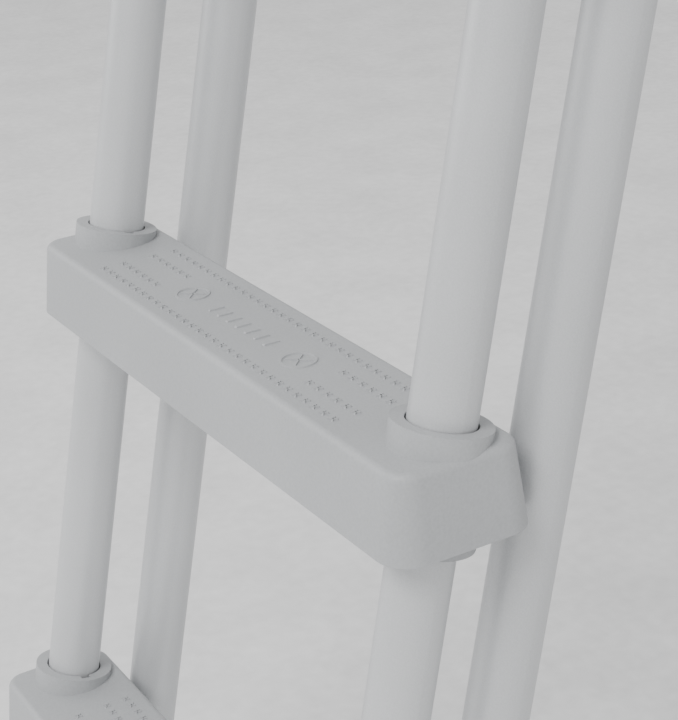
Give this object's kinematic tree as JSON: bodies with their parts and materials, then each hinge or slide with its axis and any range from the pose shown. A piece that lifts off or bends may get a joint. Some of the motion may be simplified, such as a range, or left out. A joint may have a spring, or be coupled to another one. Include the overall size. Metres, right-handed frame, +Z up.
{
  "type": "pool ladder",
  "caption": "A-frame ladder for an above-ground pool, with handrails, a platform, hollow treads and a lift-off outer step unit.",
  "frame": {"origin": "on the floor, under the middle of the ladder's box", "axes": "+X along the steps, -Y towards the outside of the pool, +Z up"},
  "size_m": [0.458, 1.1016, 1.716],
  "materials": {
    "tube_paint": "satin silver-grey powder coat",
    "step_plastic": "satin moulded grey",
    "foot_rubber": "matte",
    "screw_steel": "satin"
  },
  "bodies": {
    "frame": {"handrail_left": "tube_paint", "handrail_right": "tube_paint", "outer_leg_left": "tube_paint", "outer_leg_right": "tube_paint", "inner_leg_left": "tube_paint", "inner_leg_right": "tube_paint", "crossbar": "tube_paint", "leg_connectors": "tube_paint", "platform": "step_plastic", "inner_step_1": "step_plastic", "inner_step_2": "step_plastic", "inner_step_3": "step_plastic", "crossbar_clamp_left": "step_plastic", "crossbar_clamp_right": "step_plastic", "leg_feet": "foot_rubber", "connector_screws": "screw_steel"},
    "step_unit": {"side_tube_left": "tube_paint", "side_tube_right": "tube_paint", "outer_step_1": "step_plastic", "outer_step_2": "step_plastic", "outer_step_3": "step_plastic", "side_tube_feet": "foot_rubber", "hanger_bar": "step_plastic"},
    "knob_left": {"lock_knob_left": "step_plastic"},
    "knob_right": {"lock_knob_right": "step_plastic"}
  },
  "joints": [
    {"name": "unit_lift", "type": "slide", "parent": "frame", "child": "step_unit", "axis": [0, 0.2164, 0.9763], "range_m": [0, 0.06]},
    {"name": "knob_turn_left", "type": "hinge", "parent": "step_unit", "child": "knob_left", "pos_m": [-0.04, -0.33552, 0.98518], "axis": [0, -0.9763, 0.2164], "range_deg": [0, 90]},
    {"name": "knob_turn_right", "type": "hinge", "parent": "step_unit", "child": "knob_right", "pos_m": [0.04, -0.33552, 0.98518], "axis": [0, -0.9763, 0.2164], "range_deg": [0, 90]}
  ]
}
